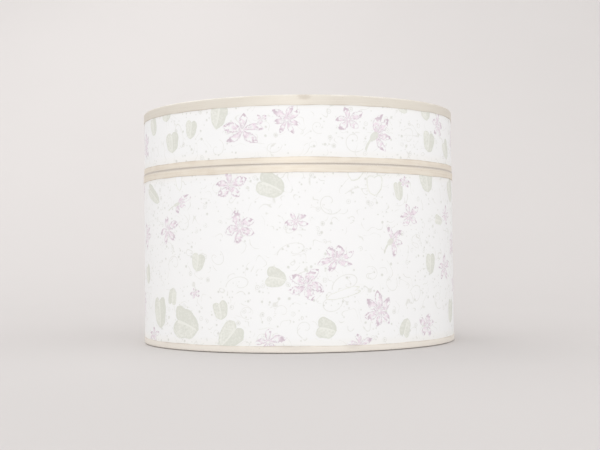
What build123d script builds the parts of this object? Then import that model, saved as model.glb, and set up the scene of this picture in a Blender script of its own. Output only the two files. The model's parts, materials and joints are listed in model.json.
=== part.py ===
from build123d import *

import os
from math import sqrt

# Round lidded paper-covered cardboard box with a raised inner neck.
#
# All sizes are millimetres. The origin is the centre of the underside, +Z runs up through the lid, and the
# butt joint of every board strip is at the back, on +Y. The board rings and discs carry the load; printed
# paper, lining paper and folded gilt edging are glued to them. The lid drops over the neck and rests on the
# base's rim, its side a hair inside the base's.

# ---- driving dimensions -------------------------------------------------------------------------------
outer_diameter = 170.0
base_height = 90.5          # underside to the seam where the lid rests
lid_height = 33.3           # seam to the top of the lid
neck_rise = 20.0            # how far the neck stands above the seam, inside the lid
lid_clearance = 0.3         # gap all round between the neck and the lid's lining
lid_set_in = 0.3            # the lid's side stands this far inside the base's

floor_board = 2.0           # both discs
neck_board = 1.2
wall_depth = 2.15           # board of the base wall, radially
cover_paper = 0.25
edging_paper = 0.2
lining_paper = 0.2
joint_tape = 0.15

top_edging_height = 5.0     # what shows of each gilt edging on the side
lid_rim_edging_height = 3.3
base_rim_edging_height = 4.0
foot_edging_height = 3.3
top_turn_in = 5.0           # width folded onto the top of the lid
foot_turn_in = 8.0          # width folded under the base
inner_turn_in = 3.0         # height folded up inside the lid's rim
neck_paper_turn_in = 8.0    # height folded down inside the neck

edging_chamfer = 0.6        # outer corner of a folded edging
board_chamfer = 0.3         # outer corner of a board under it
neck_chamfer = 0.2          # both corners of the neck's edge, and the lower inner corner of the lid's rim
joint_gap = 0.4             # butt joint between the two ends of a board strip
tape_width = 25.0
underside_inset = 3.0       # bare edging round the paper on the underside
paper_inset = 0.8           # an end of a cover paper stops this far short of the edge
tape_inset = 0.6            # and the joint tape this far short of its board's ends

# ---- radii and heights worked out from them -----------------------------------------------------------
outer_radius = outer_diameter / 2
cover_radius = outer_radius - edging_paper
board_radius = cover_radius - cover_paper
neck_radius = board_radius - wall_depth
neck_board_radius = neck_radius - lining_paper
neck_board_inside = neck_board_radius - neck_board
inside_radius = neck_board_inside - lining_paper
turned_under = outer_radius - foot_turn_in

lid_radius = outer_radius - lid_set_in
lid_cover_radius = lid_radius - edging_paper
lid_board_radius = lid_cover_radius - cover_paper
lid_inside_radius = neck_radius + lid_clearance
lid_board_inside = lid_inside_radius + lining_paper

foot_level = lining_paper                       # underside of the folded edging
board_bottom = foot_level + edging_paper
floor_top = board_bottom + floor_board
floor_lining_top = floor_top + lining_paper
seam = base_height
wall_top = seam - edging_paper
neck_top = seam + neck_rise
lid_top = seam + lid_height
lid_board_bottom = seam + edging_paper
lid_paper_top = lid_top - edging_paper
lid_board_top = lid_paper_top - cover_paper
lid_ceiling = lid_board_top - floor_board
lid_lining_bottom = seam + inner_turn_in
ceiling_lining_bottom = lid_ceiling - lining_paper
fold_chamfer = edging_chamfer - edging_paper * (2 - sqrt(2))    # keeps an edging's thickness across a corner


def turned(inner_radius, radius, bottom, top, corners=None):
    """A ring, or a disc when inner_radius is 0, turned about +Z. corners maps a corner of its section,
    such as "outer top", to the size of the chamfer that breaks it."""
    section = Rectangle(radius - inner_radius, top - bottom, align=(Align.MIN, Align.MIN))
    section = Pos(inner_radius, bottom) * section
    for corner, size in (corners or {}).items():
        side, end = corner.split()
        at_x = radius if side == "outer" else inner_radius
        at_y = top if end == "top" else bottom
        sharp = section.vertices().sort_by_distance((at_x, at_y, 0))[0]
        section = chamfer(sharp, size)
    return revolve(Plane.XZ * section, Axis.Z)


def at_joint(width, bottom, top):
    """A block over the butt joint at the back, wider than any wall, to cut or keep what lies there."""
    block = Box(width, outer_radius, top - bottom, align=(Align.CENTER, Align.MIN, Align.MIN))
    return Pos(0, outer_radius / 2, bottom) * block


def joint_tape_between(inner_radius, radius, bottom, top):
    """The gummed tape that closes a board strip into a ring."""
    low, high = bottom + tape_inset, top - tape_inset
    return turned(inner_radius, radius, low, high) & at_joint(tape_width, low, high)


def board_ring(ring, tape):
    """A board strip bent into a ring: a butt joint at the back, and the tape pressed in flush."""
    bottom, top = ring.bounding_box().min.Z, ring.bounding_box().max.Z
    return ring - at_joint(joint_gap, bottom - 1, top + 1) - tape


# ---- the base -----------------------------------------------------------------------------------------
def base_parts():
    wall_tape = joint_tape_between(board_radius - joint_tape, board_radius, board_bottom, wall_top)
    neck_tape = joint_tape_between(
        neck_board_inside, neck_board_inside + joint_tape, floor_top, neck_top - lining_paper
    )
    wall = turned(
        neck_radius,
        board_radius,
        board_bottom,
        wall_top,
        {"outer top": board_chamfer, "outer bottom": board_chamfer},
    )
    neck = turned(neck_board_inside, neck_board_radius, floor_top, neck_top - lining_paper)
    return {
        "base_wall": board_ring(wall, wall_tape),
        "base_wall_joint_tape": wall_tape,
        "base_floor": turned(0, neck_radius, board_bottom, floor_top),
        "neck_ring": board_ring(neck, neck_tape),
        "neck_joint_tape": neck_tape,
        "neck_cover_paper": neck_paper(),
        "base_cover_paper": turned(
            board_radius, cover_radius, foot_level + paper_inset, seam - paper_inset
        ),
        "base_rim_edging": rim_edging(),
        "base_foot_edging": foot_edging(),
        "base_underside_paper": underside_paper(),
        "base_wall_lining": turned(
            inside_radius, neck_board_inside, floor_lining_top, neck_top - neck_paper_turn_in
        ),
        "base_floor_lining": turned(0, neck_board_inside, floor_top, floor_lining_top),
    }


def neck_paper():
    """Plain paper up the outside of the neck, over its edge and a little way down inside."""
    outside = turned(
        inside_radius,
        neck_radius,
        floor_top,
        neck_top,
        {"outer top": neck_chamfer, "inner top": neck_chamfer},
    )
    board_space = turned(
        neck_board_inside, neck_board_radius, floor_top, neck_top - lining_paper
    )
    below_turn_in = turned(0, neck_board_inside, floor_top, neck_top - neck_paper_turn_in)
    return outside - board_space - below_turn_in


def rim_edging():
    """Gilt edging over the base's rim, from the printed paper to the foot of the neck."""
    outside = turned(
        neck_radius,
        outer_radius,
        seam - base_rim_edging_height,
        seam,
        {"outer top": edging_chamfer},
    )
    inside = turned(
        0,
        cover_radius,
        0,
        wall_top,
        {"outer top": fold_chamfer},
    )
    return outside - inside


def foot_edging():
    """Gilt edging round the foot, turned under the base."""
    outside = turned(
        turned_under,
        outer_radius,
        foot_level,
        foot_level + foot_edging_height,
        {"outer bottom": edging_chamfer},
    )
    inside = turned(
        0,
        cover_radius,
        board_bottom,
        seam,
        {"outer bottom": fold_chamfer},
    )
    return outside - inside


def underside_paper():
    """A disc that closes the underside: on the board in the middle, and out over the folded edging."""
    on_board = turned(0, turned_under, foot_level, board_bottom)
    over_edging = turned(
        turned_under - lining_paper, outer_radius - underside_inset, 0, foot_level
    )
    return on_board + over_edging


# ---- the lid ------------------------------------------------------------------------------------------
def lid_parts():
    wall_tape = joint_tape_between(
        lid_board_radius - joint_tape, lid_board_radius, lid_board_bottom, lid_board_top
    )
    wall = turned(
        lid_board_inside,
        lid_board_radius,
        lid_board_bottom,
        lid_board_top,
        {"outer top": board_chamfer, "outer bottom": board_chamfer},
    )
    return {
        "lid_wall": board_ring(wall, wall_tape),
        "lid_wall_joint_tape": wall_tape,
        "lid_disc": turned(0, lid_board_inside, lid_ceiling, lid_board_top),
        "lid_cover_paper": turned(
            lid_board_radius, lid_cover_radius, seam + paper_inset, lid_top - paper_inset
        ),
        "lid_top_paper": turned(
            0, lid_radius - paper_inset, lid_board_top, lid_paper_top
        ),
        "lid_top_edging": top_edging(),
        "lid_rim_edging": lid_rim_edging(),
        "lid_wall_lining": turned(
            lid_inside_radius, lid_board_inside, lid_lining_bottom, ceiling_lining_bottom
        ),
        "lid_ceiling_lining": turned(0, lid_board_inside, ceiling_lining_bottom, lid_ceiling),
    }


def top_edging():
    """Gilt edging over the lid's top corner, turned in over the printed disc."""
    outside = turned(
        lid_radius - top_turn_in,
        lid_radius,
        lid_top - top_edging_height,
        lid_top,
        {"outer top": edging_chamfer},
    )
    inside = turned(
        0,
        lid_cover_radius,
        seam,
        lid_paper_top,
        {"outer top": fold_chamfer},
    )
    return outside - inside


def lid_rim_edging():
    """Gilt edging under the lid's rim and a little way up inside it."""
    outside = turned(
        lid_inside_radius,
        lid_radius,
        seam,
        seam + lid_rim_edging_height,
        {"outer bottom": edging_chamfer, "inner bottom": neck_chamfer},
    )
    inside = turned(
        lid_board_inside,
        lid_cover_radius,
        lid_board_bottom,
        lid_top,
        {"outer bottom": fold_chamfer},
    )
    above_turn_in = turned(0, lid_board_inside, lid_lining_bottom, lid_top)
    return outside - inside - above_turn_in


def main():
    os.makedirs("parts", exist_ok=True)
    for node, shape in {**base_parts(), **lid_parts()}.items():
        solid = shape.solids()[0]
        solid.label = node
        export_step(solid, os.path.join("parts", node + ".step"))
        print(f"{node}: {len(shape.solids())} solid, {solid.volume:.0f} mm3")


main()
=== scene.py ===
# %% [markdown]
# # A round box covered in flower-printed paper
#
# The box is made the way a boxmaker makes it. Rings and discs of board give it strength, and none of them
# shows. All that shows is paper: a printed wrap round the base and another round the lid, folded gilt
# edging over every raw edge, and plain lining paper inside. The CAD model already holds the boards, so this
# lesson makes the papers, sheet by sheet, and then prints the flowers on them with shader nodes.

# %% Load the frame
import json
import math
import random

import bmesh
import bpy
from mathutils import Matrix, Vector

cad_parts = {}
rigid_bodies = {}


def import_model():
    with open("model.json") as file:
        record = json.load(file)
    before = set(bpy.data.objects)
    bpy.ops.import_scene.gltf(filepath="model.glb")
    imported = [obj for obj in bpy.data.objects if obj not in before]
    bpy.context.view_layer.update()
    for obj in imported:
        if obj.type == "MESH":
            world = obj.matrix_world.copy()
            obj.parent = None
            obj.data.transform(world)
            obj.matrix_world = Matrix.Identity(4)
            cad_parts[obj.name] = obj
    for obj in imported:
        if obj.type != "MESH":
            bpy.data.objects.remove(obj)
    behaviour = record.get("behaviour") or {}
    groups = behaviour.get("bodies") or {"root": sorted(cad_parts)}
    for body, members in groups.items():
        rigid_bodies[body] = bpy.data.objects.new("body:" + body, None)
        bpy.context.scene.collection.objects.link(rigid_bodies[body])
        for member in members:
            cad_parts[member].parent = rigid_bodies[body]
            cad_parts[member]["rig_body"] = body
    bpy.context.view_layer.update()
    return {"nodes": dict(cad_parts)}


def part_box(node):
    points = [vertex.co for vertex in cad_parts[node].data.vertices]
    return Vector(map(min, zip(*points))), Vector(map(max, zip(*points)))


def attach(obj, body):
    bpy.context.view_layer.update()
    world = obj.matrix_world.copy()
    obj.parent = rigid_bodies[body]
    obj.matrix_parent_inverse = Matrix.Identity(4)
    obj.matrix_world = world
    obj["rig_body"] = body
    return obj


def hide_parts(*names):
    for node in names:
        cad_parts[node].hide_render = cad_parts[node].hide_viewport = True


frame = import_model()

MM = 0.001
nodes = frame["nodes"]

# %% [markdown]
# ## Measures
#
# A boxmaker measures from the boards outwards, so the sizes are read from the CAD model: how far each paper
# reaches from the axis, and where it starts and ends in height. Only what a sheet of paper brings with it,
# its thickness, is written down as a number. All lengths are in millimetres until a mesh is made.

# %% Read the measures


def reach(node):
    """How far a CAD node reaches from the axis."""
    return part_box(node)[1].x / MM


def heights(node):
    """The lowest and highest point of a CAD node."""
    low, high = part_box(node)
    return low.z / MM, high.z / MM


COVER = 0.25        # thickness of the printed wraps
EDGING = 0.2        # of the gilt edging
LINING = 0.2        # of the plain papers
BASE_RADIUS = reach("base_rim_edging")
LID_RADIUS = reach("lid_rim_edging")
NECK_RADIUS = reach("neck_cover_paper")
NECK_INSIDE = reach("base_wall_lining") - LINING
LID_INSIDE = reach("lid_wall_lining") - LINING
SEAM = heights("base_rim_edging")[1]
TOP = heights("lid_top_edging")[1]
print(f"base {BASE_RADIUS:.2f}, lid {LID_RADIUS:.2f}, neck {NECK_RADIUS:.2f}")
print(f"seam {SEAM:.1f}, top {TOP:.1f}")

# %% [markdown]
# ## The camera
#
# The box is seen from about half-way up its base, seven radii from its axis, with the camera tipped up a
# degree and a half and leaning by about half a degree. The distances are written in radii of the base, so
# the view keeps its shape if the box is made in another size.

# %% Set up the camera
DISTANCE = 7.0          # in radii of the base
BELOW_SEAM = 0.505      # how far the lens is below the seam
ASIDE = 0.008           # and to the right of the axis
TIPPED = math.radians(1.53)
LEANING = math.radians(0.575)
LENS = 64.2
camera = bpy.data.objects.new("camera", bpy.data.cameras.new("camera"))
camera.data.sensor_width = 36.0
camera.data.lens = LENS
camera.location = Vector((ASIDE, -DISTANCE, SEAM / BASE_RADIUS - BELOW_SEAM)) * BASE_RADIUS * MM
camera.rotation_euler = (math.pi / 2 + TIPPED, LEANING, 0)
bpy.context.scene.collection.objects.link(camera)
bpy.context.scene.camera = camera
print("camera at", [round(value, 3) for value in camera.location])

# %% [markdown]
# ## A sheet of paper, folded and wrapped
#
# Every paper on this box is one strip or disc turned about the axis: the wraps are straight in section, the
# edging is folded over a corner, the linings lie inside. A Screw modifier could turn a section, but it gives
# the same section all the way round, and paper never lies like that: a strip overlaps its own start, its cut
# edge strays, it puckers where it is turned in. So one function sweeps a section by hand and asks two small
# functions how the paper lies at each angle. It makes both skins of the sheet, so the lap is a real step.
#
# A section is a short list of corners. A folded sheet of paper never has a knife edge, so each corner is
# replaced by a small curve, and the straight parts are cut into equal pieces.

# %% A section that bends round its corners
FOLD_STEPS = 5


def folded(corners, rounding=0.0, spacing=1.0):
    """A section through the corners, as (distance from the axis, height), with its bends rounded."""
    corners = [Vector(corner) for corner in corners]
    path = [corners[0]]
    for before, corner, after in zip(corners, corners[1:], corners[2:]):
        start = corner + (before - corner).normalized() * rounding
        end = corner + (after - corner).normalized() * rounding
        for step in range(FOLD_STEPS + 1):
            share = step / FOLD_STEPS
            path.append(start.lerp(corner, share).lerp(corner.lerp(end, share), share))
    path.append(corners[-1])
    section = [path[0]]
    for before, after in zip(path, path[1:]):
        pieces = max(1, round((after - before).length / spacing))
        section += [before.lerp(after, piece / pieces) for piece in range(1, pieces + 1)]
    return section, corners[1:-1]


# %% [markdown]
# ### The sweep
#
# Angles start at the front and grow to the right, and a strip's two ends meet at the back. Each point also
# keeps three distances for the finishes: how far round the strip it is, how far from a fold, and how far
# from a cut edge.

# %% A sheet swept round the axis
STEPS = 360
RAMP = 1.5          # run over which a lap climbs onto the paper under it
STRAY_DEPTH = 1.6   # how far in from a cut edge its straying is felt


def smooth(share):
    share = min(1.0, max(0.0, share))
    return share * share * (3 - 2 * share)


def sheet(
    name, section_and_bends, thickness, lap=0.0, turn=0.0, steps=STEPS, lift=None, stray=None, pressed=0.0
):
    """A sheet of paper swept round the axis. lift(angle, run along the section) raises it, and
    stray(angle) moves its cut edges along the sheet. Over the width pressed, along the cut edges, the lap is
    pressed nearly flat. The outer skin is on the right of the section."""
    section, bends = section_and_bends
    count = len(section)
    along = [0.0]
    for before, after in zip(section, section[1:]):
        along.append(along[-1] + (after - before).length)
    tangents = [
        (section[min(k + 1, count - 1)] - section[max(k - 1, 0)]).normalized() for k in range(count)
    ]
    radius = max(point.x for point in section)
    lap_angle = lap / radius
    rings = steps + 1 if lap else steps
    mesh = bmesh.new()
    run_layer = mesh.verts.layers.float.new("run")
    fold_layer = mesh.verts.layers.float.new("fold")
    edge_layer = mesh.verts.layers.float.new("edge")
    grid = []
    for ring in range(rings):
        share = ring / steps
        strip_angle = -math.pi - lap_angle / 2 + (2 * math.pi + lap_angle) * share
        angle = strip_angle + math.radians(turn)
        from_lap = (strip_angle - math.pi + lap_angle / 2) * radius
        raised = thickness * smooth(1 + from_lap / RAMP) if lap else 0.0
        outer, inner = [], []
        for k, point in enumerate(section):
            outward = Vector((tangents[k].y, -tangents[k].x))
            to_start, to_end = along[k], along[-1] - along[k]
            thick = smooth(min(to_start, to_end) - pressed) if pressed else 1.0
            up = raised * max(thick, 0.1) + (lift(angle, along[k]) if lift else 0.0)
            aside = 0.0
            if stray:
                aside += stray(angle + 1.0) * smooth(1 - to_end / STRAY_DEPTH)
                aside -= stray(angle) * smooth(1 - to_start / STRAY_DEPTH)
            place = point + outward * up + tangents[k] * aside
            for skin, depth in ((outer, 0.0), (inner, thickness)):
                r, z = place - outward * depth
                r = max(r, 0.0)
                vertex = mesh.verts.new(Vector((r * math.sin(angle), -r * math.cos(angle), z)) * MM)
                vertex[run_layer] = angle * radius
                vertex[fold_layer] = min([(point - bend).length for bend in bends], default=99.0)
                vertex[edge_layer] = min(to_start, to_end)
                skin.append(vertex)
        grid.append(outer + inner[::-1])
    rounds = 2 * count
    for ring in range(steps):
        one, other = grid[ring], grid[(ring + 1) % rings]
        for k in range(rounds):
            following = (k + 1) % rounds
            mesh.faces.new((one[k], one[following], other[following], other[k]))
    if lap:
        for loop in (grid[0], grid[-1]):
            for k in range(count - 1):
                mesh.faces.new((loop[k], loop[k + 1], loop[rounds - 2 - k], loop[rounds - 1 - k]))
    return finished_mesh(name, mesh)


# %% [markdown]
# ### From points to a piece
#
# A mesh built point by point needs three things before it is a piece: points that coincide are welded, the
# faces are turned to look outwards, and the smooth shading stops at real edges. Then the sheet is given to
# the CAD node that it stands for, so that it moves with the same body.

# %% Close the mesh and put it in the scene
WELD = 1e-7
CREASE = math.radians(40)


def finished_mesh(name, mesh):
    """Welds the points on the axis, turns every face outwards and shades the sheet smooth."""
    bmesh.ops.remove_doubles(mesh, verts=mesh.verts, dist=WELD)
    bmesh.ops.recalc_face_normals(mesh, faces=mesh.faces)
    for face in mesh.faces:
        face.smooth = True
    data = bpy.data.meshes.new(name)
    mesh.to_mesh(data)
    mesh.free()
    data.set_sharp_from_angle(angle=CREASE)
    piece = bpy.data.objects.new(name, data)
    bpy.context.scene.collection.objects.link(piece)
    return piece


def settle(piece, node):
    """Gives a sheet to the CAD node that it stands for: hides the node and joins the same body."""
    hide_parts(node)
    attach(piece, nodes[node]["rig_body"])
    print(f"{piece.name}: {len(piece.data.polygons)} faces for {node}")


# %% [markdown]
# ## How paper strays
#
# Hand-cut and hand-pasted paper wanders by a few tenths of a millimetre. A noise texture could do it, but
# the ends of a ring have to meet, so a wandering line is a sum of waves that each go a whole number of times
# round the box. Pleats are the same waves, cut off below and sharpened, so that they stand up as thin ridges
# with flat paper between them, as they do where a straight strip is turned in over a round edge.

# %% Wandering lines and pleats


def wander(seed, size, waves):
    """A function of the angle that strays by up to about size and joins up after a full turn."""
    draw = random.Random(seed)
    parts = [(wave, draw.uniform(0, 2 * math.pi), draw.uniform(0.4, 1.0)) for wave in waves]
    total = sum(weight for _, _, weight in parts)

    def stray(angle):
        return size * sum(weight * math.sin(wave * angle + phase) for wave, phase, weight in parts) / total

    return stray


PLEATS = 84
RIDGE_SHARPNESS = 5


def pleats(seed, height):
    """A function of the angle with thin ridges, unevenly spaced and unevenly high."""
    shift = wander(seed, 2.5, (3, 5, 8))
    strength = wander(seed + 1, 1.0, (4, 7, 13))

    def ridge(angle):
        wave = max(0.0, math.sin(PLEATS * angle + shift(angle)))
        return height * wave**RIDGE_SHARPNESS * (0.55 + 0.45 * strength(angle))

    return ridge


print("wander at the front:", round(wander(1, 0.3, (2, 5))(0.0), 3), "mm")

# %% [markdown]
# ## The printed wraps
#
# A wrap is a plain strip, cut a little narrower than the wall so that the edging hides its edges, and long
# enough to overlap itself at the back. Paste never dries quite evenly, so the strip bulges by a few
# hundredths of a millimetre. That is too little to see straight on, and just enough for the light to catch.
# Where the edging lies over the lap, the two layers are pressed flat, or the wrap would show through it.

# %% Wrap the base and the lid
WRAP_LAP = 10.0
WRAP_PRESSED = 4.2      # the width that lies under the edging
BULGE = 0.05


def wrap(name, node, seed):
    low, high = heights(node)
    radius = reach(node)
    swell = wander(seed, BULGE, (3, 5, 7, 11))
    ripple = wander(seed + 1, BULGE, (4, 9, 13))

    def lift(angle, run):
        return swell(angle) * math.sin(math.pi * run / (high - low)) + ripple(angle + run / radius) * 0.4

    section = folded([(radius, low), (radius, high)], spacing=4.0)
    made = sheet(name, section, COVER, WRAP_LAP, lift=lift, pressed=WRAP_PRESSED)
    settle(made, node)
    return made


base_wrap = wrap("base_wrap", "base_cover_paper", 11)
lid_wrap = wrap("lid_wrap", "lid_cover_paper", 23)

# %% [markdown]
# ## The lid's printed disc
#
# The disc lies flat on the board, and the edging is turned in over its rim. It is a swept sheet too: its
# section runs from the rim to the axis, where the points of all angles are welded into one.

# %% Lay the lid's printed disc
disc_low, disc_high = heights("lid_top_paper")
disc_swell = wander(31, 0.04, (2, 3, 5))
lid_print = sheet(
    "lid_print",
    folded([(reach("lid_top_paper"), disc_high), (0.0, disc_high)], spacing=4.0),
    disc_high - disc_low,
    steps=180,
    lift=lambda angle, run: disc_swell(angle + run / 30) * math.sin(math.pi * run / LID_RADIUS),
)
settle(lid_print, "lid_top_paper")

# %% [markdown]
# ## The folded edging
#
# The gilt edging is a narrow strip folded over a corner: up the side and in over the top of the lid, round
# the two lips of the seam, and under the foot. Four lists of corners are most of what differs. The strip's
# cut edge strays by a quarter of a millimetre and its fold is a small round. On the lid's top, where
# everybody sees it, the part that is turned in is pleated: a straight strip is too long for the smaller
# circle, and the surplus stands up in ridges.

# %% Fold the lid's top edging
EDGING_LAP = 8.0
FOLD = 0.75
FINE = 900          # steps round a strip whose pleats have to stay sharp
TURNED_TO = 79.7    # radius of its cut edge on the lid's top
TURN_IN = LID_RADIUS - TURNED_TO
EDGING_EASE = 0.03
EDGING_STRAY = 0.28


def edging(
    name, node, corners, seed, turn, pleated_from=0.0, pleated_to=1.0, height=0.0, loose=None, fold=FOLD
):
    """One folded strip. The pleats grow between two runs along the section; loose lifts a cut edge."""
    ridges = pleats(seed, height)
    ease = wander(seed + 2, EDGING_EASE, (3, 7, 12, 19))

    def lift(angle, run):
        up = ease(angle) + ridges(angle) * smooth((run - pleated_from) / (pleated_to - pleated_from))
        return up + (loose(angle, run) if loose else 0.0)

    section = folded(corners, fold, spacing=0.6)
    stray = wander(seed + 3, EDGING_STRAY, (2, 5, 9, 17, 31))
    made = sheet(name, section, EDGING, EDGING_LAP, turn, FINE, lift, stray)
    settle(made, node)
    return made


top_low = heights("lid_top_edging")[0]
top_edging = edging(
    "top_edging",
    "lid_top_edging",
    [(LID_RADIUS, top_low), (LID_RADIUS, TOP), (LID_RADIUS - TURN_IN, TOP)],
    seed=41,
    turn=4,
    pleated_from=TOP - top_low,
    pleated_to=TOP - top_low + TURN_IN,
    height=0.16,
)

# %% [markdown]
# ### The lips of the seam
#
# The lid rests on the base edging to edging, so only a hair of a groove shows between them. The folds of
# these two strips are tighter than the others, because a wide round would open the groove. Only their cut
# edges stray, and they have no pleats.

# %% Fold the two lips of the seam
LIP_FOLD = 0.25
lip_low, lip_high = heights("lid_rim_edging")
lining_low = heights("lid_wall_lining")[0]
lid_lip = edging(
    "lid_lip_edging",
    "lid_rim_edging",
    [(LID_INSIDE, lining_low), (LID_INSIDE, lip_low), (LID_RADIUS, lip_low), (LID_RADIUS, lip_high)],
    seed=53,
    turn=-5,
    fold=LIP_FOLD,
)
base_lip = edging(
    "base_lip_edging",
    "base_rim_edging",
    [(BASE_RADIUS, heights("base_rim_edging")[0]), (BASE_RADIUS, SEAM), (NECK_RADIUS, SEAM)],
    seed=67,
    turn=2,
    fold=LIP_FOLD,
)

# %% [markdown]
# ## The foot
#
# The foot takes the knocks. Its edging has come away from the wall in a few places along the upper edge,
# where it throws a hair of shadow. The loose stretches are bumps in the angle, lifted only near the cut
# edge.

# %% Fold the foot's edging
foot_low, foot_high = heights("base_foot_edging")
UNDER_TO = 77.0         # radius of its cut edge under the base
UNDER = BASE_RADIUS - UNDER_TO
LOOSE_DEPTH = 2.2
CLEAR = 0.05            # keeps the waves of the strip off the table
# angle and half width in radians, and height in millimetres, of each loose stretch
LOOSE_PLACES = ((-0.02, 0.1, 0.3), (0.3, 0.035, 0.4), (-0.9, 0.06, 0.25), (2.2, 0.12, 0.35))


def loose_foot(angle, run):
    to_edge = UNDER + foot_high - foot_low - run
    lifted = sum(
        height * math.exp(-(((angle - centre) / width) ** 2)) for centre, width, height in LOOSE_PLACES
    )
    return lifted * smooth(1 - to_edge / LOOSE_DEPTH)


foot_edging = edging(
    "foot_edging",
    "base_foot_edging",
    [(BASE_RADIUS - UNDER, foot_low + CLEAR), (BASE_RADIUS, foot_low + CLEAR), (BASE_RADIUS, foot_high)],
    seed=79,
    turn=-3,
    loose=loose_foot,
)

# %% [markdown]
# ## The plain papers
#
# Inside, the box is lined with plain paper: up the neck and over its edge, round the inner wall, on the
# floor and inside the lid. Nobody sees them until the lid comes off, and then they are most of what is seen.
# They are the same swept sheets, in faint waves, with a lap at the back where they are strips.

# %% Line the neck, the walls, the floor and the lid
LINING_LAP = 9.0
LINING_SWELL = 0.03
LINING_STEPS = 240
TWIST = 50.0        # run over which the waves turn by a radian


def lining(name, node, corners, seed, lap=LINING_LAP, rounding=0.0):
    swell = wander(seed, LINING_SWELL, (2, 5, 8))
    section = folded(corners, rounding, spacing=3.0)
    turn = seed % 7 - 3     # a few degrees, so that the laps don't line up

    def lift(angle, run):
        return swell(angle + run / TWIST)

    made = sheet(name, section, LINING, lap, turn, LINING_STEPS, lift)
    settle(made, node)
    return made


neck_low, neck_high = heights("neck_cover_paper")
wall_low, wall_high = heights("base_wall_lining")
neck_paper = lining(
    "neck_paper",
    "neck_cover_paper",
    [(NECK_RADIUS, neck_low), (NECK_RADIUS, neck_high), (NECK_INSIDE, neck_high), (NECK_INSIDE, wall_high)],
    seed=83,
    rounding=0.5,
)
wall_lining = lining(
    "wall_lining", "base_wall_lining", [(NECK_INSIDE, wall_high), (NECK_INSIDE, wall_low)], seed=89
)
floor_high = heights("base_floor_lining")[1]
floor_lining = lining(
    "floor_lining",
    "base_floor_lining",
    [(reach("base_floor_lining"), floor_high), (0, floor_high)],
    seed=97,
    lap=0,
)
lid_wall_low, lid_wall_high = heights("lid_wall_lining")
lid_wall_lining = lining(
    "lid_side_lining", "lid_wall_lining", [(LID_INSIDE, lid_wall_high), (LID_INSIDE, lid_wall_low)], seed=101
)
ceiling_low = heights("lid_ceiling_lining")[0]
lid_ceiling = lining(
    "lid_ceiling_paper",
    "lid_ceiling_lining",
    [(0, ceiling_low), (reach("lid_ceiling_lining"), ceiling_low)],
    seed=103,
    lap=0,
)

# %% [markdown]
# ## The paper underneath
#
# A disc closes the underside. In the middle it is pasted to the board, and near its rim it steps down over
# the turned-under edging, so that the box stands on a flat ring.

# %% Close the underside
STEP = 0.4              # run over which the paper steps down
under_reach = reach("base_underside_paper")
underside = lining(
    "underside_disc",
    "base_underside_paper",
    [
        (0, LINING),
        (BASE_RADIUS - UNDER - STEP, LINING),
        (BASE_RADIUS - UNDER, CLEAR),
        (under_reach, CLEAR),
    ],
    seed=107,
    lap=0,
    rounding=0.1,
)

# %% [markdown]
# ## Shader maths as sums
#
# A printed flower is a formula, and a formula is easier to read as a sum than as a web of boxes. A Wire is
# one output of a node. Adding, multiplying or comparing wires adds the Math nodes for it, and mixing colours
# or measuring vectors adds Mix and Vector Math nodes. Every other node comes from Finish.node, which takes
# the node's type, its settings and what goes into its sockets.

# %% A wire


class Wire:
    """One output socket, with arithmetic."""

    def __init__(self, finish, socket):
        self.finish = finish
        self.socket = socket

    def math(self, operation, *others):
        sockets = dict(enumerate((self, *others)))
        return self.finish.node("ShaderNodeMath", {"operation": operation}, sockets)

    def __add__(self, other):
        return self.math("ADD", other)

    def __sub__(self, other):
        return self.math("SUBTRACT", other)

    def __rsub__(self, other):
        return self.finish.node("ShaderNodeMath", {"operation": "SUBTRACT"}, {0: other, 1: self})

    def __mul__(self, other):
        return self.math("MULTIPLY", other)

    def __truediv__(self, other):
        return self.math("DIVIDE", other)

    def __lt__(self, other):
        return self.math("LESS_THAN", other)

    def __gt__(self, other):
        return self.math("GREATER_THAN", other)

    def __abs__(self):
        return self.math("ABSOLUTE")

    __radd__ = __add__
    __rmul__ = __mul__

    def between(self, low, high):
        """0 at low and 1 at high, smoothly. low may be above high."""
        settings = {"interpolation_type": "SMOOTHSTEP"}
        return self.finish.node("ShaderNodeMapRange", settings, {0: self, 1: low, 2: high})


# %% [markdown]
# ### A finish
#
# A finish is one material. Values that are the same everywhere are set on the Principled shader itself, and
# vary links only what changes over the surface. The finish also knows where a point is: its place on the
# piece in millimetres, and the distances that the sheets keep.

# %% A finish


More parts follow.
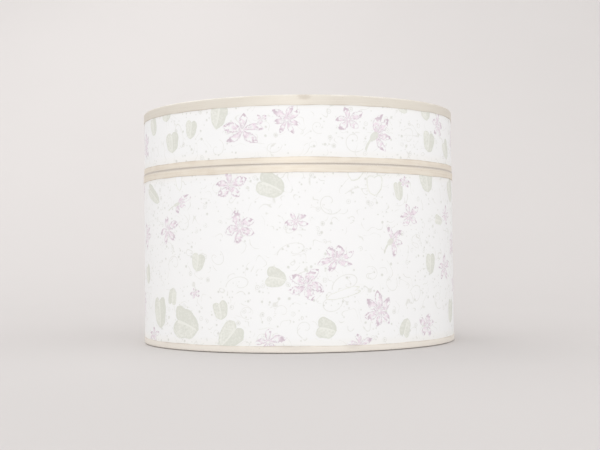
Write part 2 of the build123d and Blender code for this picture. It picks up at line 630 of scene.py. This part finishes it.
class Finish:
    """A material, and the nodes behind it."""

    def __init__(self, name, **values):
        self.material = bpy.data.materials.new(name)
        self.material.use_nodes = True
        self.tree = self.material.node_tree
        self.shader = self.tree.nodes["Principled BSDF"]
        for socket, value in values.items():
            self.shader.inputs[socket.replace("_", " ")].default_value = value

    def node(self, kind, settings=None, sockets=None, output=0):
        made = self.tree.nodes.new(kind)
        for setting, value in (settings or {}).items():
            setattr(made, setting, value)
        for socket, value in (sockets or {}).items():
            self.feed(made.inputs[socket], value)
        return Wire(self, made.outputs[output])

    def feed(self, socket, value):
        if isinstance(value, Wire):
            self.tree.links.new(value.socket, socket)
        else:
            socket.default_value = value

    def vary(self, **wires):
        """Links what changes over the surface to the shader."""
        for socket, wire in wires.items():
            self.feed(self.shader.inputs[socket.replace("_", " ")], wire)

    def colour(self, factor, below, above):
        """A colour that goes from below to above."""
        return self.node("ShaderNodeMix", {"data_type": "RGBA"}, {0: factor, 6: below, 7: above}, 2)

    def kept(self, name):
        """One of the distances that the sheets keep: run, fold or edge."""
        return self.node("ShaderNodeAttribute", {"attribute_name": name}, output="Fac")

    def place(self):
        """The point on the piece in millimetres."""
        point = self.node("ShaderNodeTexCoord", output="Object")
        return self.node("ShaderNodeVectorMath", {"operation": "SCALE"}, {0: point, "Scale": 1 / MM})

    def apart(self, vector):
        """The three numbers of a vector."""
        return [self.node("ShaderNodeSeparateXYZ", {}, {0: vector}, output=axis) for axis in range(3)]

    def joined(self, x, y, z=0.0):
        return self.node("ShaderNodeCombineXYZ", {}, {0: x, 1: y, 2: z})

    def noise(self, vector, scale, detail):
        return self.node("ShaderNodeTexNoise", {}, {"Vector": vector, "Scale": scale, "Detail": detail})

    def relief(self, height, depth, strength):
        """Feeds a bump of that depth in millimetres to the shader's normal."""
        sockets = {"Height": height, "Distance": depth * MM, "Strength": strength}
        self.vary(Normal=self.node("ShaderNodeBump", {}, sockets))


def paint(objects, finish):
    """Puts a finish on pieces or CAD nodes."""
    for piece in objects:
        piece.data.materials.clear()
        piece.data.materials.append(finish.material)


# %% [markdown]
# ## The print: one motif at a time
#
# Wallpaper printers lay the same few blocks again and again, turned and spaced so that the eye doesn't catch
# them. The print here has four blocks: an open flower, a flower from the side, a heart-shaped leaf and a
# curled tendril. Drawing each one at forty places would take thousands of nodes. Instead, a short chain asks
# at each point of the paper which motif is nearest, and hands on the point as measured from that motif. The
# block is then drawn once.
#
# A motif's place on the paper is given as a printer's designer gives it: millimetres to the
# right of the front, millimetres above the table, its half width and half height, its turn in degrees, and
# its kind.

# %% Find the nearest motif
KIND_SCALE = 0.01


def nearest(finish, place, motifs):
    """The place as measured from the nearest motif, where x and y run from -1 to 1, and its kind."""
    found = None
    for across, up, half_width, half_height, turn, kind in motifs:
        sockets = {
            "Vector": place,
            "Location": (across, up, -kind * KIND_SCALE),
            "Rotation": (0, 0, math.radians(turn)),
            "Scale": (half_width, half_height, 1),
        }
        own = finish.node("ShaderNodeMapping", {"vector_type": "TEXTURE"}, sockets)
        away = finish.node("ShaderNodeVectorMath", {"operation": "LENGTH"}, {0: own}, "Value")
        if found is None:
            found, found_away = own, away
            continue
        nearer = away < found_away
        found = finish.node("ShaderNodeMix", {"data_type": "VECTOR"}, {0: nearer, 4: found, 5: own}, 1)
        found_away = away.math("MINIMUM", found_away)
    x, y, kind = finish.apart(found)
    return x, y, kind / KIND_SCALE


# %% [markdown]
# ## The flower block
#
# Seen from above, a flower is one petal repeated round its centre, so the angle is cut into as many sectors
# as there are petals and the petal is drawn once, along its own axis. It is narrow at the heart, widest past
# the middle and ends in a point, and two noises tear its edge. The block prints a pale wash with white
# gaps, an outline that breaks up, dark strokes out of the heart, and a dark tip here and there. The very
# middle takes no ink. Real blocks are cut by hand, so each petal draws its own length, bend and width.
#
# A flower from the side is the same block with only the petals in front, and a green calyx on a stem.

# %% Draw a petal block
FAN_MIDDLE = 0.45           # radians from the first petal to the middle of a side view's fan
FAN_EDGE = -0.22            # cosine of half the fan
HEART = 0.07                # no ink nearer to the middle than this


def flower(finish, own, fine, blotch, fan=False):
    """Two masks: where the block prints its wash, and how dark the plum ink is."""
    x, y, kind = own
    petals = kind.math("ROUND")
    angle = y.math("ARCTAN2", x)
    away = (x * x + y * y).math("SQRT")
    sector = angle * petals / (2 * math.pi)
    middle = sector.math("ROUND")
    petal = middle.math("FLOORED_MODULO", petals)
    settings = {"noise_dimensions": "1D"}
    lots = finish.node("ShaderNodeTexWhiteNoise", settings, {"W": petal + kind * 7.3}, "Color")
    long_lot, bend_lot, wide_lot = finish.apart(lots)
    length = long_lot * 0.3 + 0.84
    bent = (sector - middle) * (2 * math.pi) / petals + (bend_lot - 0.5) * away * away * 0.9
    along = bent.math("COSINE") * away / length
    aside = abs(bent.math("SINE") * away / length)
    width = along * (1 - along * along) * (wide_lot * 1.2 + 2.7) / (petals + 0.2)
    level = aside / width + (fine - 0.5) * 1.3 + (blotch - 0.5) * 0.8
    inside = level.between(1.06, 0.9) * (along > 0.05) * (along < 1)
    if fan:
        inside = inside * ((angle + FAN_MIDDLE).math("COSINE") > FAN_EDGE)
    outline = level.between(0.6, 0.85) * fine.between(0.35, 0.5)
    hatch = (level * 8 + wide_lot * 6 + fine * 5).math("SINE").between(0.0, 0.8)
    strokes = hatch * along.between(0.62, 0.25)
    dark_tip = along.between(0.5, 0.8) * blotch.between(0.44, 0.56)
    ink = (outline * 0.8).math("MAXIMUM", strokes * 0.75).math("MAXIMUM", dark_tip * 0.9)
    return inside, ink * inside * (away > HEART)


# %% [markdown]
# ## The leaf block
#
# A heart has a short formula: fold the leaf along its midrib, and drop each half by the square root of the
# distance from the rib. The drop fades towards the tip, which leaves a notch at the stalk and a round tip.
# The level that comes out is 0 in the middle and 1 along the edge, so the same number gives the shape, the
# darker rim and the fine line that the printer left round the leaf. The midrib stays pale, one half is
# darker than the other, and faint darker veins cross both.

# %% Draw a leaf block


def leaf(finish, own, fine, soft):
    """The leaf's shape, how dark its green is, the fine line round it, and where the green is printed."""
    x, y, fill = own
    half = abs(x)
    height = y * 1.12 + 0.14 - half.math("SQRT") * (y.between(-0.8, 0.5) * 0.55 + 0.2)
    level = (x * x * 1.05 + height * height).math("SQRT") + (fine - 0.5) * 0.12 + (soft - 0.5) * 0.3
    inside = level.between(1.02, 0.96)
    bend = x + y * y * 0.1
    rib = (abs(bend) < 0.07 + y * 0.03) * (abs(y) < 0.8)
    veins = ((half * 1.1 - y) * 16 + fine * 2).math("SINE").between(0.6, 1.0)
    rim = level.between(0.78, 0.97)
    depth = fill.between(-0.5, 3.0) * 0.5 + rim * 0.35 + (bend > 0) * 0.4 + veins * 0.2
    depth = depth + (fine - 0.5) * 2.2 + (soft - 0.5)
    halo = (abs(level - 1.2) < 0.03) * fine.between(0.45, 0.6)
    return inside, depth * (1 - rib), halo, inside * fill.between(-0.2, 1.2).math("MAXIMUM", rim)


# %% [markdown]
# ## Tendrils, dots and rings
#
# A tendril is one turn of a spiral: at each angle there is one radius where the pen ran. The tiny sprigs
# between the motifs are the contour lines of a soft noise, cut short by a second noise. Dots and rings
# are seeds scattered by a Voronoi texture: each cell draws its own lot, and most stay empty.

# %% Draw tendrils, dots and rings


def tendril(own):
    """The line of a one-turn spiral."""
    x, y, _ = own
    turned = y.math("ARCTAN2", x) / (2 * math.pi) + 0.5
    away = (x * x + y * y).math("SQRT")
    return abs(away - turned * 0.82 - 0.12).between(0.045, 0.015)


def sprigs(finish, place):
    """Short thin lines that wander between the motifs."""
    hill = finish.noise(place, 0.085, 1.0)
    gaps = finish.noise(place, 0.16, 0.0)
    line = abs(hill - 0.5).between(0.008, 0.002).math("MAXIMUM", abs(hill - 0.62).between(0.008, 0.002))
    return line * gaps.between(0.48, 0.56)


def seeds(finish, place, fine, per_mm, share, smallest, largest):
    """Dots with ragged edges, and here and there a ring."""
    settings = {"voronoi_dimensions": "2D", "feature": "F1"}
    cells = finish.node("ShaderNodeTexVoronoi", settings, {"Vector": place, "Scale": per_mm})
    lots = Wire(finish, cells.socket.node.outputs["Color"])
    drawn, size, sort = finish.apart(lots)
    away = cells / per_mm + (fine - 0.5) * 0.5
    radius = size * (largest - smallest) + smallest
    dot = (away - radius).between(0.3, -0.3)
    ring = abs(away - 1.0).between(0.24, 0.1) * (sort > 0.9)
    crowd = finish.noise(place, 0.03, 0.0)
    return dot.math("MAXIMUM", ring * 0.7) * (drawn < crowd.between(0.35, 0.6) * share + 0.12)


# %% [markdown]
# ## The printed paper
#
# The layers are printed in the order of the real presses: the white ground with its fibres, then the seeds
# and lines in grey-green, the leaves, and the flowers last. The inks are very pale, as on an old paper that
# has spent years in the light. Along the edging the paste has toned the white slightly warm. The white of
# the lid's top is painted darker, as shade against the strong light from above.

# %% Mix the inks
WHITE = (0.885, 0.889, 0.89, 1)
TONED = (0.865, 0.845, 0.80, 1)
# painted shade: the lid's top is darkened against the strong light from above
SHADED_TOP_WHITE = (0.73, 0.725, 0.715, 1)        # the white of the lid's top
PALE_PETAL = (0.855, 0.77, 0.825, 1)
PLUM = (0.53, 0.43, 0.495, 1)
PALE_LEAF = (0.825, 0.83, 0.78, 1)
DEEP_LEAF = (0.70, 0.71, 0.65, 1)
LINE_INK = (0.66, 0.66, 0.61, 1)
SEED_INK = (0.64, 0.645, 0.60, 1)


def printed_paper(name, flowers, sprays, leaves, tendrils, flat=False, white=WHITE):
    """The printed paper with its motifs at those places. A flat one is for a disc, not for a wrap."""
    finish = Finish(name, Roughness=0.55)
    if flat:
        x, y, _ = finish.apart(finish.place())
        place = all_round = finish.joined(x, y)
    else:
        run = finish.kept("run")
        height = finish.apart(finish.place())[2]
        all_round = finish.joined(run, height)
        half_turn = math.pi * BASE_RADIUS
        once = (run + half_turn / 2).math("FLOORED_MODULO", half_turn) - half_turn / 2
        place = finish.joined(once, height)
    fine = finish.noise(all_round, 0.9, 2.0)
    soft = finish.noise(all_round, 0.2, 1.0)
    blotch = finish.noise(all_round, 0.5, 1.0)
    fibres = finish.noise(all_round, 3.2, 3.0)
    cloud = finish.noise(all_round, 0.02, 2.0)
    toned = finish.kept("edge").between(7.0, 3.6) * 0.35 + cloud.between(0.5, 0.9) * 0.2
    ground = finish.colour(toned + (fibres - 0.5) * 0.3, white, TONED)
    dots = seeds(finish, all_round, fine, 0.19, 0.55, 0.3, 0.7)
    specks = seeds(finish, all_round, fine, 0.33, 0.3, 0.2, 0.4)
    ground = finish.colour(dots.math("MAXIMUM", specks * 0.8) * 0.7, ground, SEED_INK)
    lines = sprigs(finish, all_round) * 0.55
    lines = lines.math("MAXIMUM", tendril(nearest(finish, place, tendrils)) * 0.5)
    ground = finish.colour(lines * fine.between(0.2, 0.5), ground, LINE_INK)
    inside, depth, halo, printed = leaf(finish, nearest(finish, place, leaves), fine, soft)
    ground = finish.colour(inside, finish.colour(halo * 0.5, ground, PALE_LEAF), white)
    ground = finish.colour(printed, ground, finish.colour(depth, PALE_LEAF, DEEP_LEAF))
    blocks = [flower(finish, nearest(finish, place, flowers), fine, blotch)]
    if sprays:
        spray = nearest(finish, place, sprays)
        x, y, _ = spray
        calyx = ((x + 0.1) * (x + 0.1) * 16 + y * y * 34).between(1.15, 0.85)
        stem = (abs(y + (x + 0.2) * (x + 0.2) * 0.5) < 0.05 - x * 0.02) * (x < -0.2) * (x > -0.85)
        green = calyx.math("MAXIMUM", stem)
        blocks.append(flower(finish, spray, fine, blotch, fan=True))
    for wash, ink in blocks:
        petal_wash = finish.colour(blotch.between(0.56, 0.42), PALE_PETAL, white)
        ground = finish.colour(wash * 0.9, ground, petal_wash)
        ground = finish.colour(ink * 0.8, ground, PLUM)
    if sprays:
        ground = finish.colour(green * (fine * 0.6 + 0.5), ground, DEEP_LEAF)
    finish.vary(Base_Color=ground, Roughness=fibres * 0.16 + 0.46)
    finish.relief(fibres * 0.6 + fine * 0.4, 0.035, 0.5)
    return finish


# %% [markdown]
# ## Where the motifs are
#
# The front half of the wrap carries these motifs, and the back half carries them again, because the paper's
# own repeat is about as long as half the box. The kind of a flower is its number of petals, with a
# decimal that changes how they are drawn; the kind of a leaf is how full its wash is.

# %% Place the motifs on the base
base_flowers = [
    (-34, 81, 8.5, 8.5, 18, 5.2),
    (-76, 60, 9, 8.5, 35, 5.3),
    (-28.6, 60.2, 8.5, 9.5, 45, 5.1),
    (57, 82.5, 3.4, 3.4, 20, 5.4),
    (60, 66, 7, 7, 30, 5.2),
    (18.5, 45, 10, 6.5, 8, 6.3),
    (3.5, 32.5, 9.6, 9.6, -4, 5.1),
    (40.5, 19.5, 8.8, 9.8, 30, 6.2),
    (-15, 5.5, 8, 7.5, 25, 5.3),
    (29, 4, 7, 5.5, 15, 5.2),
    (73, 11, 6.5, 8, 85, 5.1),
    (-55, 28.5, 3.2, 3, 40, 5.4),
    (93, 40, 9, 8, 20, 5.3),
    (-93, 6.5, 7, 4.5, 10, 5.2),
    (-104, 58, 8, 7.5, 60, 5.1),
    (-116, 22, 7.5, 7.5, 15, 6.1),
    (111, 51, 8, 7.5, 40, 6.2),
    (116, 30, 6.5, 6.5, 10, 5.4),
    (96, 67, 6, 6, 0, 5.2),
    (-1, 63, 5.5, 5.5, 50, 5.4),
    (-120, 82, 8, 7.5, 15, 5.3),
]
base_sprays = [(-67, 73, 10, 5, 14, 7.1), (48, 53.5, 8.5, 8.5, 40, 7.2), (-122, 40, 8, 8, 100, 7.3)]
base_leaves = [
    (-92, 78.5, 3.6, 8.5, 62, 3),
    (-12.5, 80, 6.3, 6.5, 66, 2.4),
    (28, 86.5, 4.2, 4.4, -25, -0.1),
    (38.5, 80, 4.6, 4.8, 0, 0),
    (53, 77.5, 3, 4.6, 8, 3),
    (74.5, 83.5, 6, 6, 15, 2),
    (-53, 43.5, 4.4, 4.2, -10, 2),
    (-10.6, 36, 5.1, 4.7, 80, 2),
    (-72, 27, 3.6, 4, 170, 3),
    (-84.5, 17.5, 6.6, 7.6, 5, 3),
    (-61, 13, 8.2, 8.6, 74, 2.5),
    (-39.5, 20, 4.4, 4.3, 12, 2),
    (-35, 7.5, 6.2, 7, -42, 2),
    (13.5, 11.5, 5.2, 4.7, 78, 2),
    (56.5, 11, 3.6, 4.4, 160, 3),
    (77, 41.5, 4.5, 5, 0, 3),
    (104, 16, 5, 6, -10, 3),
    (87, 64, 2.6, 4.2, 80, 1),
    (107, 80, 6, 6.2, 30, 2),
    (126, 66, 5, 5.6, -20, 2),
    (127, 10, 5.6, 6.2, 35, 2),
    (-103, 37, 4.4, 4.8, 20, 2),
    (21, 28, 2.2, 8.5, -75, -0.3),
    (-66, 83.5, 2.6, 4, 10, -0.2),
]
base_tendrils = [
    (-42, 46, 4.5, 6, 230, 0),
    (24, 33, 9, 6, 20, 0),
    (15, 24, 7, 6, 200, 0),
    (3, 12, 5, 5, 70, 0),
    (36, 37, 4.5, 5, 300, 0),
    (-29, 33, 8, 5, 10, 0),
    (-64, 63, 5, 6.5, 250, 0),
    (15, 72, 7, 7, 150, 0),
    (-2, 49, 9, 5, 15, 0),
    (-25, 20, 4, 5, 100, 0),
    (64, 26, 5, 7, 330, 0),
    (85, 24, 6, 6, 120, 0),
    (-70, 43, 6, 6, 40, 0),
    (66, 54, 4.5, 6, 90, 0),
    (-98, 25, 5, 7, 160, 0),
    (100, 55, 5, 7, 10, 0),
    (47, 33, 4.5, 6, 210, 0),
    (-8, 20, 4, 4, 10, 0),
]
base_paper = printed_paper("base_printed_paper", base_flowers, base_sprays, base_leaves, base_tendrils)
paint([base_wrap], base_paper)
print("base print:", len(base_flowers), "flowers,", len(base_leaves), "leaves")

# %% [markdown]
# ### The lid's side
#
# The lid's wrap is cut from the same sheet, so it has the same four blocks. Some motifs run under the
# edging, because a boxmaker lays the paper where it falls.

# %% Place the motifs on the lid's side
lid_flowers = [
    (-27, 107.5, 10.6, 8.6, 18, 5.4),
    (-17.5, 112.5, 3.4, 2.6, 30, 3.2),
    (-5, 111.5, 7.8, 8, 32, 7.1),
    (25, 112, 7.4, 7, 25, 5.2),
    (87, 113, 6, 8, 15, 5.1),
    (-107, 105, 8, 8, 30, 6.2),
    (116, 108, 8, 7.5, 60, 5.3),
]
lid_sprays = [(39.5, 105, 11, 10.5, 41, 7.1), (-122, 113, 8, 8, -30, 7.4)]
lid_leaves = [
    (-77, 119.5, 4.8, 4.4, 5, 2),
    (-71.5, 103.8, 5.6, 4.9, 5, 2.5),
    (-57, 109.2, 3.9, 4.3, -8, 2.5),
    (-40, 114.5, 4.9, 5.8, -12, 2),
    (74.5, 119, 4.8, 4.8, 12, 2),
    (77, 103.2, 5.6, 5, -10, 3),
    (-92, 114, 4.4, 4.8, 20, 2),
    (99, 101, 4.6, 5, 35, 2),
    (57, 118.5, 2.4, 2.6, 60, 1),
    (128, 100, 4.6, 5, 10, 2),
]
lid_tendrils = [
    (-65, 105, 4.5, 11, 10, 0),
    (-41, 99, 5, 5, 250, 0),
    (28, 102, 6.5, 7, 140, 0),
    (8, 99.5, 2.6, 2.6, 20, 0),
    (10, 108.5, 4, 4, 120, 0),
    (60, 105, 4.5, 6, 320, 0),
    (-12, 99, 5, 4, 190, 0),
    (94, 112, 4, 6, 70, 0),
    (-88, 100, 4, 5, 20, 0),
]
lid_paper = printed_paper("lid_printed_paper", lid_flowers, lid_sprays, lid_leaves, lid_tendrils)
paint([lid_wrap], lid_paper)
print("lid print:", len(lid_flowers), "flowers,", len(lid_leaves), "leaves")

# %% [markdown]
# ## The print on the lid's top
#
# The disc is cut from the same sheet, so it has the same motifs at the same spacing. They are laid along a
# sunflower spiral, which spreads any number of things evenly over a disc, and every place takes a flower or
# a leaf by turns.

# %% Place the motifs on the lid's top
GOLDEN_TURN = math.radians(137.508)
PLACES = 44
top_draw = random.Random(5)
top_flowers, top_leaves, top_tendrils = [], [], []
for place in range(PLACES):
    spread = (LID_RADIUS - 2) * math.sqrt((place + 0.5) / PLACES)
    across = spread * math.cos(place * GOLDEN_TURN) + top_draw.uniform(-2.5, 2.5)
    up = spread * math.sin(place * GOLDEN_TURN) + top_draw.uniform(-2.5, 2.5)
    turn = top_draw.uniform(0, 360)
    if place % 5 in (0, 2):
        size = top_draw.uniform(7.5, 9.5)
        petals = top_draw.choice((5, 5, 6, 8)) + top_draw.randrange(1, 5) / 10
        top_flowers.append((across, up, size, size * top_draw.uniform(0.75, 1), turn, petals))
    elif place % 5 in (1, 3):
        size = top_draw.uniform(4.2, 7)
        top_leaves.append((across, up, size, size * 1.05, turn, top_draw.uniform(1.5, 3)))
    else:
        top_tendrils.append((across, up, 6.0, 6.5, turn, 0))
# the top's white is darkened as painted shade against the light from above
top_paper = printed_paper(
    "top_printed_paper", top_flowers, [], top_leaves, top_tendrils, flat=True, white=SHADED_TOP_WHITE
)
paint([lid_print], top_paper)
print("top print:", len(top_flowers), "flowers,", len(top_leaves), "leaves")

# %% [markdown]
# ## The gilt paper
#
# Old gilt edging is pale bronze powder on paper. It is only half a metal: it shines softly, runs in streaks
# along the strip because that is how it was coated, has gone brown in spots, and has rubbed thin along the
# fold. The strip on the lid's top is painted darker and greyer, as shade over the lid's upper rim. The one
# at the foot is rubbed pale, the seam is darkened by painted shade in its groove and some grime, and there
# are two faint brown stains. A metallic factor of about a third with a middling roughness gives that dull
# shine.

# %% Mix the gilt
GILT = (0.82, 0.76, 0.665, 1)
GILT_DEEP = (0.73, 0.65, 0.545, 1)
BRONZE = (0.42, 0.34, 0.27, 1)
# painted shade in the seam's groove, with some grime
SEAM_SHADE_AND_GRIME = (0.50, 0.45, 0.41, 1)
RUBBED = (0.87, 0.84, 0.79, 1)
# painted shade: the gilt near the lid's top is darker and greyer
TOP_SHADE_GILT = (0.70, 0.665, 0.60, 1)
SEAM_SHADE_DEPTH = 0.9       # how far out of the seam the painted shade and grime reach
TOP_SHADE_FROM = TOP - 6.0
RUBBED_FROM = 5.0       # the foot is rubbed below this height
# across, up, half width and half height of each brown stain
STAINS = ((3.5, 122.9, 3.8, 1.8), (128.0, 2.2, 3.5, 1.0))


def gilt():
    finish = Finish("gilt_paper", Metallic=0.3)
    run = finish.kept("run")
    fold = finish.kept("fold")
    edge = finish.kept("edge")
    height = finish.apart(finish.place())[2]
    streaks = finish.noise(finish.joined(run * 0.06, edge * 1.6, fold), 1.0, 3.0)
    cloud = finish.noise(finish.joined(run, height), 0.12, 3.0)
    grain = finish.noise(finish.place(), 2.6, 2.0)
    shade = streaks.between(0.35, 0.75) * 0.6 + cloud.between(0.4, 0.75) * 0.4
    colour = finish.colour(shade, GILT, GILT_DEEP)
    # painted shade over the lid's upper rim: the gilt turns darker and greyer towards the top
    colour = finish.colour(height.between(TOP_SHADE_FROM, TOP_SHADE_FROM + 1) * 0.65, colour, TOP_SHADE_GILT)
    colour = finish.colour(height.between(RUBBED_FROM, RUBBED_FROM - 1) * 0.6, colour, RUBBED)
    worn = fold.between(1.1, 0.3) * (grain * 0.5 + cloud * 0.5).between(0.48, 0.56)
    colour = finish.colour(worn * 0.7, colour, RUBBED)
    browned = grain.between(0.66, 0.74) * cloud.between(0.45, 0.6) * 0.6
    browned = browned.math("MAXIMUM", edge.between(0.45, 0.0) * cloud.between(0.35, 0.6) * 0.5)
    for across, up, wide, tall in STAINS:
        x = (run - across) / wide
        y = (height - up) / tall
        spot = (x * x + y * y + (grain - 0.5) * 1.6).between(1.2, 0.1)
        browned = browned.math("MAXIMUM", spot * 0.35)
    colour = finish.colour(browned, colour, BRONZE)
    # painted shade in the seam's groove, with some grime: darker within about a millimetre of the seam
    from_seam = abs(height - SEAM) + (grain - 0.5) * 0.5
    colour = finish.colour(from_seam.between(SEAM_SHADE_DEPTH, 0.15) * 0.7, colour, SEAM_SHADE_AND_GRIME)
    finish.vary(Base_Color=colour, Roughness=0.42 + grain * 0.2)
    finish.relief(grain * 0.6 + streaks * 0.4, 0.05, 0.6)
    return finish


gilt_pieces = [top_edging, lid_lip, base_lip, foot_edging]
paint(gilt_pieces, gilt())
print("gilt on", [piece.name for piece in gilt_pieces])

# %% [markdown]
# ## The plain papers, the board and the tape
#
# The lining is a cream laid paper: fine parallel lines from the mould, a few darker fibres, a freckle of
# foxing. The underside paper is a rougher buff. Strawboard is grey-brown with long straw fibres, and gummed
# tape is brown kraft. One function mixes all four from two colours, because what differs is only how
# coarse the fibres are and how much they stand out.

# %% Mix the plain papers and the board
FOXED = (0.55, 0.4, 0.25, 1)


def plain_paper(name, light, dark, fibre, contrast, foxing=0.0, laid=0.0, bumpy=True):
    finish = Finish(name, Roughness=0.8)
    x, y, z = finish.apart(finish.place())
    long_fibres = finish.noise(finish.joined(x * 0.5, y * 1.3, z * 2.0), fibre, 3.0)
    fine = finish.noise(finish.place(), fibre * 3, 2.0)
    cloud = finish.noise(finish.place(), 0.035, 2.0)
    shade = (long_fibres - 0.5) * contrast + (fine - 0.5) * contrast + cloud.between(0.35, 0.8) * 0.4
    if laid:
        shade = shade + (z * (2 * math.pi / laid)).math("SINE") * 0.07
    colour = finish.colour(shade, light, dark)
    if foxing:
        freckles = finish.noise(finish.place(), 0.35, 1.0).between(0.7, 0.78) * foxing
        colour = finish.colour(freckles, colour, FOXED)
    finish.vary(Base_Color=colour, Roughness=fine * 0.2 + 0.68)
    if bumpy:
        finish.relief(long_fibres * 0.5 + fine * 0.5, 0.06, 0.6)
    return finish


cream = plain_paper("cream_paper", (0.84, 0.80, 0.72, 1), (0.73, 0.67, 0.57, 1), 0.5, 0.6, 0.5, laid=1.2)
buff = plain_paper("buff_paper", (0.66, 0.58, 0.46, 1), (0.50, 0.42, 0.32, 1), 0.4, 0.9, 0.4)
strawboard = plain_paper("strawboard", (0.48, 0.40, 0.29, 1), (0.30, 0.24, 0.16, 1), 0.3, 1.3, bumpy=False)
kraft = plain_paper("kraft_tape", (0.52, 0.36, 0.21, 1), (0.38, 0.25, 0.13, 1), 0.6, 0.8, bumpy=False)
paint([neck_paper, wall_lining, floor_lining, lid_wall_lining, lid_ceiling], cream)
paint([underside], buff)
paint([nodes[name] for name in ("base_wall", "base_floor", "neck_ring", "lid_wall", "lid_disc")], strawboard)
paint([nodes[name] for name in ("base_wall_joint_tape", "neck_joint_tape", "lid_wall_joint_tape")], kraft)
print("plain papers, board and tape done")

# %% [markdown]
# ## The table
#
# The box stands on a pale sweep of paper that curves up behind it, so there is no horizon. The curve is a
# quarter circle between a level stretch and an upright one. Lengths are in metres from here on.

# %% Roll out the sweep
SWEEP_WIDTH = 6.0
SWEEP_FRONT = -8.0
SWEEP_BACK = 0.3
SWEEP_CURVE = 1.4
SWEEP_TOP = 3.0
CURVE_STEPS = 24
TABLE_DARK = (0.597, 0.571, 0.56, 1)
TABLE_LIGHT = (0.616, 0.589, 0.578, 1)


def sweep():
    profile = [(SWEEP_FRONT, 0.0)]
    for step in range(CURVE_STEPS + 1):
        angle = math.pi / 2 * step / CURVE_STEPS
        profile.append((SWEEP_BACK + SWEEP_CURVE * math.sin(angle), SWEEP_CURVE * (1 - math.cos(angle))))
    profile.append((SWEEP_BACK + SWEEP_CURVE, SWEEP_TOP))
    mesh = bmesh.new()
    rows = [[mesh.verts.new((side * SWEEP_WIDTH / 2, y, z)) for side in (-1, 1)] for y, z in profile]
    for near, far in zip(rows, rows[1:]):
        mesh.faces.new((near[0], near[1], far[1], far[0]))
    made = finished_mesh("sweep", mesh)
    return made


table_paper = Finish("table_paper", Roughness=0.9)
table_cloud = table_paper.noise(table_paper.place(), 0.004, 2.0)
table_paper.vary(Base_Color=table_paper.colour(table_cloud, TABLE_DARK, TABLE_LIGHT))
paint([sweep()], table_paper)
print("sweep", SWEEP_WIDTH, "m wide")

# %% [markdown]
# ### The light
#
# The light is almost shadowless. A pale room gives most of it, a low soft lamp in front fills the box's
# face, a weak one lifts its right side, and another lights the sweep. The lamp high behind on the left
# makes what shadow there is: a soft one in front of the box and to its right.

# %% Hang the lights


def lamp(name, place, aim_at, size, power):
    """A square soft lamp."""
    light = bpy.data.lights.new(name, "AREA")
    light.shape = "SQUARE"
    light.size = size
    light.energy = power
    made = bpy.data.objects.new(name, light)
    made.location = place
    made.rotation_euler = (Vector(aim_at) - made.location).to_track_quat("-Z", "Y").to_euler()
    bpy.context.scene.collection.objects.link(made)


BOX_MIDDLE = (0, 0, TOP * MM / 2)
lamp("front", (-0.2, -1.9, 0.55), BOX_MIDDLE, 0.7, 5.4)
lamp("right", (1.2, -0.8, 0.9), BOX_MIDDLE, 1.2, 1.0)
lamp("behind", (-0.45, 0.85, 1.25), BOX_MIDDLE, 1.0, 4.4)
lamp("on_the_sweep", (0.0, 0.75, 1.3), (0, 2.0, 0.5), 0.8, 0.9)
world = bpy.data.worlds.new("room")
world.use_nodes = True
world.node_tree.nodes["Background"].inputs["Color"].default_value = (1, 1, 1, 1)
world.node_tree.nodes["Background"].inputs["Strength"].default_value = 1.1
bpy.context.scene.world = world
bpy.context.scene.view_settings.view_transform = "Standard"
print("four lamps and a pale room")
